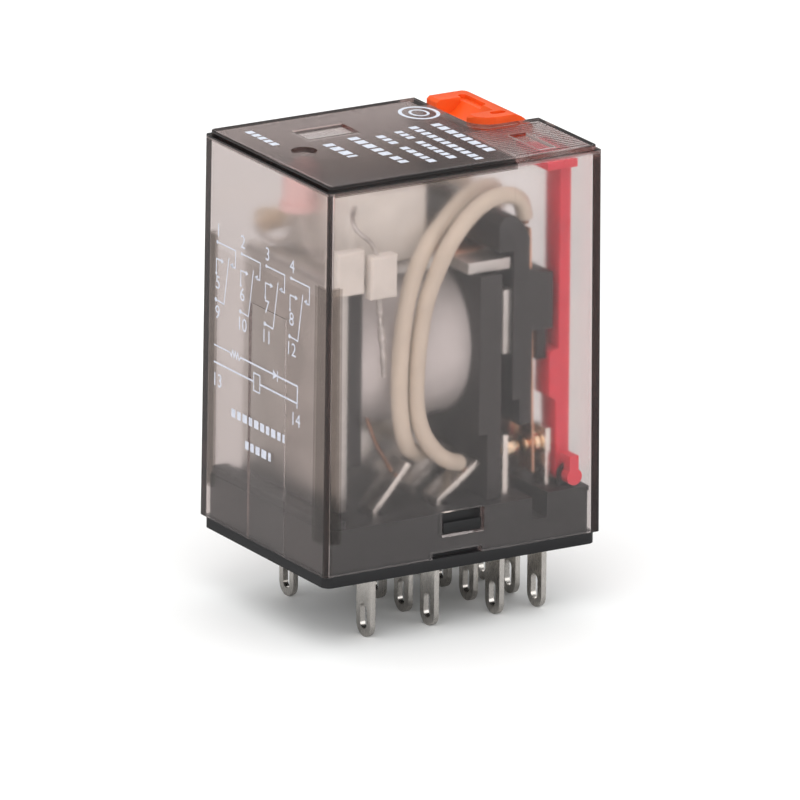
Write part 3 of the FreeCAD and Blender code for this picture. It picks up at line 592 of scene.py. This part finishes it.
def curve_points(route, steps=10):
    """Points along the NURBS line that has the route's points as its controls."""
    curve = bpy.data.curves.new("route", "CURVE")
    curve.dimensions = "3D"
    curve.resolution_u = steps
    spline = curve.splines.new("NURBS")
    spline.points.add(len(route) - 1)
    for point, place in zip(spline.points, route):
        point.co = (*mm(*place), 1.0)
    spline.order_u = 3
    spline.use_endpoint_u = True
    obj = link(bpy.data.objects.new("route", curve))
    bpy.context.view_layer.update()
    mesh = bpy.data.meshes.new_from_object(obj)
    points = [v.co.copy() for v in mesh.vertices]
    bpy.data.objects.remove(obj)
    bpy.data.meshes.remove(mesh)
    return points


def sweep(bm, points, radius, sides=20):
    """Closed round tube along points. radius is in mm, or a function of the share of the way
    along and of the place."""
    rings = []
    heading = (points[1] - points[0]).normalized()
    across = heading.orthogonal().normalized()
    for i, p in enumerate(points):
        before = points[max(i - 1, 0)]
        after = points[min(i + 1, len(points) - 1)]
        new_heading = (after - before).normalized()
        across = (across - new_heading * across.dot(new_heading)).normalized()
        upward = new_heading.cross(across)
        r = radius(i / (len(points) - 1), p) if callable(radius) else radius
        ring = []
        for k in range(sides):
            a = 2 * math.pi * k / sides
            ring.append(bm.verts.new(p + (across * math.cos(a) + upward * math.sin(a)) * r * MM))
        rings.append(ring)
    for low, high in zip(rings, rings[1:]):
        for k in range(sides):
            bm.faces.new((low[k], low[(k + 1) % sides], high[(k + 1) % sides], high[k]))
    bm.faces.new(reversed(rings[0]))
    bm.faces.new(rings[-1])


def mesh_object(name, bm, smooth=True):
    bmesh.ops.recalc_face_normals(bm, faces=bm.faces)
    mesh = bpy.data.meshes.new(name)
    bm.to_mesh(mesh)
    bm.free()
    for face in mesh.polygons:
        face.use_smooth = smooth
    if smooth:
        mesh.set_sharp_from_angle(angle=math.radians(40))
    return link(bpy.data.objects.new(name, mesh))


def lumps(base, gain, size, seed):
    """Radius that swells and shrinks along a soldered wire."""
    def radius(share, place):
        swell = noise.noise(place / (size * MM) + Vector((seed, seed, seed)))
        return base + gain * swell
    return radius


def bend(obj, names, slot_name, materials):
    """Gives a lead its material, bakes its placement into its mesh and hides the nodes it stands
    for.
    """
    obj.data.materials.clear()
    obj.data.materials.append(materials[slot_name])
    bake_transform(obj)
    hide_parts(*names)


def make_leads(materials):
    routes = (OUTER_TOP + OUTER_FALL, INNER_TOP + INNER_FALL,
              far_side(INNER_TOP_LOW + INNER_FALL), far_side(OUTER_TOP_LOW + OUTER_FALL))
    braid = bmesh.new()
    for n, route in enumerate(routes, 1):
        points = curve_points(route)
        bm = bmesh.new()
        sweep(bm, points, lambda share, p: SLEEVE_R + 0.02 * noise.noise(p / (1.2 * MM)), 28)
        obj = mesh_object(f"lead_sleeve_{n}_finished", bm)
        bend(obj, [f"lead_sleeve_{n}"], "beige_sleeve", materials)
        ends = [points[0] + (points[0] - points[1]).normalized() * BARE * MM]
        tail = [points[-1] + (points[-1] - points[-2]).normalized() * BARE * MM]
        sweep(braid, ends + points + tail, BRAID_R, 14)
    bend(mesh_object("lead_braids_finished", braid), ["lead_braids"], "copper", materials)


LAMP_X, LAMP_Y = -9.75, 0.45


def make_wires(materials):
    bm = bmesh.new()
    jumper = [(-8.2, -5.3, 32.4), (-9.0, -6.5, 32.6), (-9.9, -7.7, 32.4), (-10.15, -8.5, 31.6),
              (-9.4, -8.7, 30.9), (-8.5, -8.7, 30.1), (-7.9, -8.7, 28.8), (-7.8, -8.7, 28.2)]
    sweep(bm, curve_points(jumper), 0.2, 14)
    lead = [(-7.75, -8.7, 26.0), (-7.75, -8.7, 25.3), (-7.6, -8.7, 22.9), (-7.3, -8.7, 20.4),
            (-7.15, -8.7, 17.9)]
    sweep(bm, curve_points(lead, 24), lumps(0.27, 0.16, 0.5, 4.0), 16)
    obj = mesh_object("joint_wires_finished", bm)
    finish_piece(obj, ["joint_wires"], "tinned_wire", materials)

    bm = bmesh.new()
    x, y = LAMP_X, LAMP_Y
    for route in ([(x, y - 0.9, 31.0), (x, y - 0.9, 28.6), (x, -2.4, 27.3), (-9.9, -5.4, 27.6),
                   (-10.0, -7.6, 28.0), (-10.0, -8.0, 28.1)],
                  [(x, y + 0.9, 31.0), (x, y + 0.9, 28.6), (-10.1, 3.0, 27.3),
                   (-10.7, 5.2, 27.5), (-10.55, 6.35, 28.1)]):
        sweep(bm, curve_points(route), 0.25, 14)
    finish_piece(mesh_object("lamp_wires_finished", bm), ["lamp_wires"], "tinned_wire", materials)

    bm = bmesh.new()
    for side in (-1, 1):
        sweep(bm, curve_points([(-8.2, side * 7.6, 14.0), (-7.6, side * 7.7, 12.0),
                                (-6.2, side * 7.3, 9.9), (-5.3, side * 6.9, 8.6)]), 0.18, 12)
    finish_piece(mesh_object("coil_ends_finished", bm), ["coil_ends"], "copper", materials)


# ---------------------------------------------------------------- printing
INK_LIFT = 0.006
INK_WIDTH = 0.13
LAYER = 0.002
BAR_SHARE = 0.66
COVER_HALF_X, DRAFT = 14.0, 0.21
COVER_BOTTOM, SHOULDER_Z, TOTAL_TOP = 1.1, 35.75, 36.2
POLE_PITCH, FIRST_POLE_Y = 4.2, 8.15
DIGIT_SIZE, FIRST_DIGIT_Y = 1.7, 8.0
# first number of each row of four, and the row's height
DIGIT_ROWS = ((1, 27.6), (5, 22.85), (9, 20.15))
COIL_DIGITS = (("13", 7.9, 14.0), ("14", -5.5, 14.0))
# plain bars in place of lines of text: start, end and height above the base on the coil end,
# and place, start, end and bar height on the lid
SIDE_BAR_HEIGHT = 1.15
SIDE_BARS = ((5.4, -3.7, 11.8), (3.0, -1.4, 9.5))
LID_BARS = (
    (4.4, 2.1, -8.1, 1.35), (2.2, 2.25, -9.2, 1.25), (0.35, 1.6, -0.9, 1.15),
    (0.35, -1.95, -8.45, 1.15), (-1.75, 1.25, -1.65, 1.15), (-1.75, -2.8, -8.3, 1.15),
    (-4.1, 1.9, -4.3, 1.5), (-7.0, 1.2, -3.3, 1.5), (-4.0, -4.9, -7.4, 1.3),
    (-11.0, 7.9, 2.5, 1.1))
# plain rings in place of a mark: radii across and along, and line width
LID_RINGS_AT = (5.0, 5.7)
LID_RINGS = (((1.6, 1.9), 0.34), ((0.75, 0.95), 0.26))


def side_place(y, z, lift=0):
    """Point on the coil-end wall's outer skin, which leans in by the mould draft."""
    lean = DRAFT * (z - COVER_BOTTOM) / (SHOULDER_Z - COVER_BOTTOM)
    return mm(-(COVER_HALF_X - lean) - INK_LIFT - lift, y, z)


def lid_place(x, y, lift=0):
    return mm(x, y, TOTAL_TOP + INK_LIFT + lift)


class Ink:
    """Flat printed marks laid on one skin of the cover."""

    def __init__(self, place):
        self.bm = bmesh.new()
        self.place = place

    def fill(self, points):
        """One flat patch. Neighbouring patches lie at slightly different heights, so that
        they never share a plane where they overlap."""
        lift = len(self.bm.faces) % 5 * LAYER
        self.bm.faces.new([self.bm.verts.new(self.place(*p, lift)) for p in points])

    def dot(self, at, r, sides=14):
        turns = [2 * math.pi * k / sides for k in range(sides)]
        self.fill([(at[0] + r * math.cos(t), at[1] + r * math.sin(t)) for t in turns])

    def line(self, points, width=INK_WIDTH):
        half = width / 2
        for (ax, ay), (bx, by) in zip(points, points[1:]):
            run = math.hypot(bx - ax, by - ay)
            nx, ny = -(by - ay) / run * half, (bx - ax) / run * half
            self.fill([(ax + nx, ay + ny), (bx + nx, by + ny), (bx - nx, by - ny),
                       (ax - nx, ay - ny)])
        for p in points:
            self.dot(p, half, 10)

    def bar(self, level, start, end, height, rng, upright=False):
        """A broken plain bar where the real part carries a line of text, running from
        start down to end across the second axis, or the first when upright."""
        at = start
        while at > end + 0.3 * height:
            run = min(rng.uniform(0.5, 0.78) * height, at - end)
            half = height * BAR_SHARE / 2
            block = [(level - half, at), (level + half, at), (level + half, at - run),
                     (level - half, at - run)]
            self.fill([(b, a) for a, b in block] if upright else block)
            at -= run + 0.26 * height

    def ring(self, at, radii, width, sides=40):
        def rim(k, shift):
            t = 2 * math.pi * k / sides
            return (at[0] + (radii[0] + shift) * math.cos(t),
                    at[1] + (radii[1] + shift) * math.sin(t))
        half = width / 2
        for k in range(sides):
            corners = rim(k, -half), rim(k, half), rim(k + 1, half), rim(k + 1, -half)
            self.bm.faces.new([self.bm.verts.new(self.place(*c)) for c in corners])


def add_digits(bm, text, y, z, size):
    """Number printed on the coil-end wall, centred on (y, z)."""
    curve = bpy.data.curves.new("digits", "FONT")
    curve.body = text
    curve.size = size
    curve.align_x, curve.align_y = "CENTER", "CENTER"
    obj = link(bpy.data.objects.new("digits", curve))
    bpy.context.view_layer.update()
    mesh = bpy.data.meshes.new_from_object(obj)
    made = [bm.verts.new(side_place(y - v.co.x, z + v.co.y)) for v in mesh.vertices]
    for face in mesh.polygons:
        bm.faces.new([made[i] for i in face.vertices])
    bpy.data.objects.remove(obj)
    bpy.data.meshes.remove(mesh)


def changeover(ink, y, z=26.55):
    """Changeover contact symbol with its three dots, y at the upper dot."""
    ink.dot((y, z), 0.17)
    ink.line([(y, z), (y - 3.13, z), (y - 3.1, z - 1.6), (y - 2.35, z - 1.5)])
    ink.fill([(y - 2.2, z - 1.48), (y - 2.75, z - 1.22), (y - 2.75, z - 1.74)])
    ink.line([(y - 2.0, z - 1.0), (y - 1.25, z - 5.35), (y + 0.15, z - 5.25)])
    ink.dot((y + 0.15, z - 5.25), 0.2)
    ink.dot((y + 0.13, z - 2.86), 0.15)
    ink.line([(y + 0.13, z - 2.86), (y + 0.13, z - 1.53), (y - 0.8, z - 1.55)])
    ink.fill([(y - 1.15, z - 1.55), (y - 0.7, z - 1.3), (y - 0.7, z - 1.8)])


def ink_material(name, worn, solid):
    mat, tree, shader = material(name)
    wear = grain_of(tree, 0.3, 4.0)
    wire(tree, shader, Roughness=0.55,
         Base_Color=mixed(tree, ramp(tree, wear, 0, 1), worn, solid))
    return mat


def print_piece(name, bm, mat):
    mesh = bpy.data.meshes.new(name)
    bm.to_mesh(mesh)
    bm.free()
    mesh.materials.append(mat)
    obj = link(bpy.data.objects.new(name, mesh))
    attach(obj, "housing")


def coil_circuit(ink, top=17.15, low=15.6, left=-5.75, bold=0.17):
    """Coil symbol with the lamp's resistor and diode in parallel."""
    ink.line([(8.47, top), (5.75, top)])
    ink.line([(5.75 - 0.22 * i, top + (0.33, -0.33)[i % 2] * (0 < i < 8)) for i in range(9)])
    ink.line([(3.99, top), (left, top), (left, low)], bold)
    ink.line([(8.45, low), (1.68, low)], bold)
    ink.line([(0.6, low), (left, low), (left + 0.02, low - 0.4)], bold)
    ink.line([(1.68, 16.4), (0.6, 16.4), (0.6, 14.8), (1.68, 14.8), (1.68, 16.4)])
    ink.fill([(-1.6, top + 0.45), (-1.6, top - 0.45), (-2.3, top)])
    ink.line([(-2.35, top + 0.45), (-2.35, top - 0.45)])


def make_printing():
    rng = random.Random(7)
    grey = ink_material("pad_print_grey", (0.50, 0.52, 0.60, 1), (0.64, 0.66, 0.74, 1))
    white = ink_material("pad_print_white", (0.52, 0.56, 0.64, 1), (0.72, 0.76, 0.84, 1))
    side = Ink(side_place)
    for k in range(4):
        changeover(side, FIRST_POLE_Y - k * POLE_PITCH)
        for first, z in DIGIT_ROWS:
            add_digits(side.bm, str(first + k), FIRST_DIGIT_Y - k * POLE_PITCH, z, DIGIT_SIZE)
    for text, y, z in COIL_DIGITS:
        add_digits(side.bm, text, y, z, DIGIT_SIZE)
    coil_circuit(side)
    for start, end, z in SIDE_BARS:
        side.bar(z, start, end, SIDE_BAR_HEIGHT, rng, upright=True)
    print_piece("side_print", side.bm, grey)

    lid = Ink(lid_place)
    for x, start, end, height in LID_BARS:
        lid.bar(x, start, end, height, rng)
    for radii, width in LID_RINGS:
        lid.ring(LID_RINGS_AT, radii, width)
    print_piece("lid_print", lid.bm, white)


# ---------------------------------------------------------------- build
make_camera()
make_studio()
MATERIALS = make_materials()
SLOTS = dress_nodes(MATERIALS)
make_softened(SLOTS, MATERIALS)
make_leads(MATERIALS)
make_wires(MATERIALS)
make_printing()

SCENE.view_settings.view_transform = "Standard"
SCENE.cycles.use_denoising = True
SCENE.cycles.max_bounces = 24
SCENE.cycles.transmission_bounces = 20
SCENE.cycles.transparent_max_bounces = 24
SCENE.cycles.diffuse_bounces = 4
SCENE.cycles.glossy_bounces = 8
